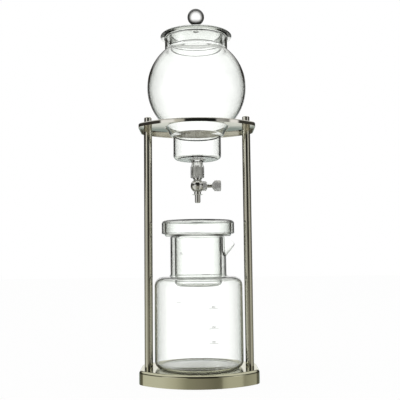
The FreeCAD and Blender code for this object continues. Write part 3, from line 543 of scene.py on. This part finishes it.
# %% Panels round the tower
STUDIO_HIGH = [
    (-180, "ffffff"), (-167, "ffffff"), (-158, "30302f"), (-108, "3a3833"), (-58, "3f3d38"),
    (-55, "ffffff"), (-36, "ffffff"), (-33, "d6d5cc"), (-20, "b4b3ab"), (-17, "232422"), (28, "1a1c1a"),
    (31, "b3b3b1"), (40, "a9a9a7"), (49, "8c8c8a"), (53, "ffffff"), (64, "ffffff"), (68, "3e3d39"),
    (108, "44433e"), (158, "30302f"), (167, "ffffff"), (180, "ffffff"),
]
STUDIO_LEVEL = [
    (-180, "ffffff"), (-167, "ffffff"), (-158, "30302f"), (-108, "44433e"), (-98, "7a776f"),
    (-90, "c4c4c0"), (-36, "d2d2ce"), (-20, "a4a39b"), (-15, "4a4842"), (4, "353430"), (28, "34322c"),
    (33, "77756c"), (44, "d0cfc8"), (66, "e0dfd8"), (74, "8a887e"), (98, "989894"), (108, "44433e"),
    (158, "30302f"), (167, "ffffff"), (180, "ffffff"),
]
STUDIO_LOW = [
    (-180, "ffffff"), (-167, "ffffff"), (-158, "4a4a46"), (-108, "6c6a60"), (-98, "8c8a80"),
    (-90, "dcdcd6"), (-57, "dcdcd6"), (-36, "c8c7bd"), (-18, "9b9a8e"), (4, "8e8b82"), (25, "7c7a70"),
    (33, "807e74"), (35, "b8b7ad"), (44, "c8c7be"), (66, "c8c7be"), (70, "98968c"), (74, "a7a69c"),
    (98, "bab9b0"), (108, "6c6a60"), (158, "4a4a46"), (167, "ffffff"), (180, "ffffff"),
]
round_tower = []
for panels in (STUDIO_LOW, STUDIO_LEVEL, STUDIO_HIGH):
    places = [(degrees / 360 + 0.5, colour) for degrees, colour in panels]
    ramp = add_node(tree, "ShaderNodeValToRGB", {"Fac": turn_share.outputs["Result"]}, stops=places)
    round_tower.append(ramp.outputs["Color"])
    print("stops round the tower:", len(places))
low_panels, level_panels, high_panels = round_tower

# %% [markdown]
# ## The gap and the ceiling
# Above the panels is a dark gap, which curved metal mirrors as a dark line, and above the gap a ceiling. It
# is pale, but not over the dark room in front. Each step up in a direction's Z, which runs from -1 straight
# down to 1 straight up, swaps one of these for the next.

# %% The gap and the ceiling
ROOM_ENDS, PALE_FROM = -0.62, -0.50  # in a direction's Y
over_room = add_node(tree, "ShaderNodeMapRange", {
    "Value": direction.outputs["Y"], "From Min": ROOM_ENDS, "From Max": PALE_FROM,
})
ceiling = add_node(tree, "ShaderNodeMix", {
    SHARE: over_room.outputs["Result"], FIRST: linear("1d1c1a"), SECOND: linear("e6e6e4"),
}, data_type="RGBA")
DARK_GAP = linear("34322e")
seen = low_panels
steps_up = [
    (-0.08, 0.0, level_panels),
    (0.08, 0.12, high_panels),
    (0.26, 0.30, DARK_GAP),
    (0.38, 0.60, ceiling.outputs[MIXED]),
]
for begins, ends, upper in steps_up:
    step = add_node(tree, "ShaderNodeMapRange", {
        "Value": direction.outputs["Z"], "From Min": begins, "From Max": ends,
    })
    seen = add_node(tree, "ShaderNodeMix", {
        SHARE: step.outputs["Result"], FIRST: seen, SECOND: upper,
    }, data_type="RGBA").outputs[MIXED]
print("steps up:", len(steps_up))

# %% [markdown]
# ## The far side of the table
# The table behind the tower is grey, with a white strip nearer to the tower. It lies below the level of
# the lens and only toward the back, and from the front it is mostly the underside of the upper plate that
# mirrors it.

# %% The far side of the table
TABLE_FROM, TABLE_FULL = -0.03, -0.10  # in a direction's Z
BACK_FROM, BACK_FULL = 0.6, 0.85  # in a direction's Y
STRIP_FROM, STRIP_FULL = -0.1895, -0.1925  # in a direction's Z
below_lens = add_node(tree, "ShaderNodeMapRange", {
    "Value": direction.outputs["Z"], "From Min": TABLE_FROM, "From Max": TABLE_FULL,
})
far_side = add_node(tree, "ShaderNodeMapRange", {
    "Value": direction.outputs["Y"], "From Min": BACK_FROM, "From Max": BACK_FULL,
})
far_table = add_node(tree, "ShaderNodeMath", {
    0: below_lens.outputs["Result"], 1: far_side.outputs["Result"],
}, operation="MULTIPLY")
nearer = add_node(tree, "ShaderNodeMapRange", {
    "Value": direction.outputs["Z"], "From Min": STRIP_FROM, "From Max": STRIP_FULL,
})
table = add_node(tree, "ShaderNodeMix", {
    SHARE: nearer.outputs["Result"], FIRST: linear("8e9a95"), SECOND: linear("e6e9e2"),
}, data_type="RGBA")
studio = add_node(tree, "ShaderNodeMix", {
    SHARE: far_table.outputs["Value"], FIRST: seen, SECOND: table.outputs[MIXED],
}, data_type="RGBA")
print("the strip begins", round(math.degrees(math.asin(-STRIP_FROM)), 1), "degrees below level")

# %% [markdown]
# ## What glass is given
# Light that glass only bends sees white on all sides and a dark ceiling, so the glass stays clear from
# everywhere. Each surface that it passes mirrors nearly four percent of it away. The white behind many
# walls is therefore brighter, or the glass would look grey where it lies deep.

# %% What glass is given
SURFACES_DEEP = 12  # six walls of glass, one behind the other
SEEN_THROUGH_ALL = 1.6  # about what makes up for that many surfaces
OVERHEAD_FROM, OVERHEAD_FULL = 0.45, 0.75  # in a direction's Z
light_path = add_node(tree, "ShaderNodeLightPath")
bent_white = add_node(tree, "ShaderNodeMapRange", {
    "Value": light_path.outputs["Transmission Depth"], "From Max": SURFACES_DEEP,
    "To Min": 1.0, "To Max": SEEN_THROUGH_ALL,
})
overhead = add_node(tree, "ShaderNodeMapRange", {
    "Value": direction.outputs["Z"], "From Min": OVERHEAD_FROM, "From Max": OVERHEAD_FULL,
})
backlight = add_node(tree, "ShaderNodeMix", {
    SHARE: overhead.outputs["Result"], FIRST: bent_white.outputs["Result"], SECOND: linear("1c1c1b"),
}, data_type="RGBA")
print("white behind", SURFACES_DEEP, "surfaces of glass:", SEEN_THROUGH_ALL)

# %% [markdown]
# ## Who sees which surroundings
# Only mirrored light reads the studio, also where it passes glass before or after. Light that leaves plain,
# unpolished surfaces meets the same light grey all round, so that they are lit evenly. The camera itself
# sees plain white behind the tower. A Light Path node tells these apart. Its depths count how often a ray
# has been mirrored, bent or scattered, always by whole numbers.

# %% Who sees which surroundings
PLAIN_LIGHT = 0.8
BETWEEN_NONE_AND_ONE = 0.5
unmirrored = add_node(tree, "ShaderNodeMath", {
    0: light_path.outputs["Glossy Depth"], 1: BETWEEN_NONE_AND_ONE,
}, operation="LESS_THAN")
only_bent = add_node(tree, "ShaderNodeMath", {
    0: light_path.outputs["Is Transmission Ray"], 1: unmirrored.outputs["Value"],
}, operation="MULTIPLY")
for_light = add_node(tree, "ShaderNodeMix", {
    SHARE: only_bent.outputs["Value"], FIRST: studio.outputs[MIXED], SECOND: backlight.outputs[MIXED],
}, data_type="RGBA")
off_plain = add_node(tree, "ShaderNodeMath", {
    0: light_path.outputs["Diffuse Depth"], 1: BETWEEN_NONE_AND_ONE,
}, operation="GREATER_THAN")
for_surfaces = add_node(tree, "ShaderNodeMix", {
    SHARE: off_plain.outputs["Value"],
    FIRST: for_light.outputs[MIXED], SECOND: [PLAIN_LIGHT] * 3 + [1.0],
}, data_type="RGBA")
for_camera = add_node(tree, "ShaderNodeMix", {
    SHARE: light_path.outputs["Is Camera Ray"],
    FIRST: for_surfaces.outputs[MIXED], SECOND: linear("ffffff"),
}, data_type="RGBA")
background = add_node(tree, "ShaderNodeBackground", {"Color": for_camera.outputs[MIXED], "Strength": 1.0})
add_node(tree, "ShaderNodeOutputWorld", {"Surface": background.outputs["Background"]})
print("nodes in the world:", len(tree.nodes))

# %% [markdown]
# ## The floor
# The tower stands on white paper. To the camera it is nearly as white as what lies behind the tower, and
# keeps only a soft shadow round the base. Mirrored light and light bent by the glass pass the paper and see
# the surroundings below its level, which the cells before lay out for them.

# %% The floor
FLOOR_METRES = 8
PAPER_GLOW = 0.95  # how much of the paper the camera sees as plain white
bpy.ops.object.select_all(action="DESELECT")
bpy.ops.mesh.primitive_plane_add(size=FLOOR_METRES)
floor = bpy.context.object
floor.name = "floor"
paper = bpy.data.materials.new("white_paper")
paper.use_nodes = True
tree = paper.node_tree
tree.nodes.clear()
lit = add_node(tree, "ShaderNodeBsdfDiffuse", {"Color": linear("f4f4f2")})
glow = add_node(tree, "ShaderNodeEmission", {"Color": linear("ffffff"), "Strength": 1.0})
light_path = add_node(tree, "ShaderNodeLightPath")
glow_share = add_node(tree, "ShaderNodeMath", {
    0: light_path.outputs["Is Camera Ray"], 1: PAPER_GLOW,
}, operation="MULTIPLY")
to_camera = add_node(tree, "ShaderNodeMixShader", {
    0: glow_share.outputs["Value"], 1: lit.outputs["BSDF"], 2: glow.outputs["Emission"],
})
through_finish = add_node(tree, "ShaderNodeMath", {
    0: light_path.outputs["Is Glossy Ray"], 1: light_path.outputs["Is Transmission Ray"],
}, operation="MAXIMUM")
open_to = add_node(tree, "ShaderNodeBsdfTransparent")
as_seen = add_node(tree, "ShaderNodeMixShader", {
    0: through_finish.outputs["Value"], 1: to_camera.outputs["Shader"], 2: open_to.outputs["BSDF"],
})
add_node(tree, "ShaderNodeOutputMaterial", {"Surface": as_seen.outputs["Shader"]})
floor.data.materials.append(paper)
print("floor:", FLOOR_METRES, "metres across, of", paper.name)

# %% [markdown]
# ## Lamps
# Two wide soft lamps stand near the pale panels, and one with a dimmer face hangs above. They only add form
# and a soft shadow: together with the even light, a plain grey surface renders about as it is written.
# Metal doesn't mirror them, because their bright faces would cover the dark bands of the studio.

# %% Lamps
LAMPS_AIM = Vector((0, 0, 250)) * MM


def soft_lamp(name, place_mm, size_mm, brightness):
    """A square lamp that faces the tower's middle. Brightness is that of its face, where 1 is white."""
    lamp_data = bpy.data.lights.new(name, "AREA")
    lamp_data.shape = "SQUARE"
    lamp_data.size = size_mm * MM
    lamp_data.energy = brightness * math.pi * lamp_data.size ** 2
    lamp = bpy.data.objects.new(name, lamp_data)
    lamp.visible_glossy = False
    bpy.context.scene.collection.objects.link(lamp)
    place = Vector(place_mm) * MM
    facing = (LAMPS_AIM - place).to_track_quat("-Z", "Y")
    lamp.matrix_world = Matrix.Translation(place) @ facing.to_matrix().to_4x4()
    print(name, "gives", round(lamp_data.energy, 2), "watts")


soft_lamp("left_panel", (-1500, -700, 800), 900, 1.2)
soft_lamp("right_panel", (1600, -300, 700), 700, 0.9)
soft_lamp("overhead_panel", (0, -200, 1900), 1000, 0.8)
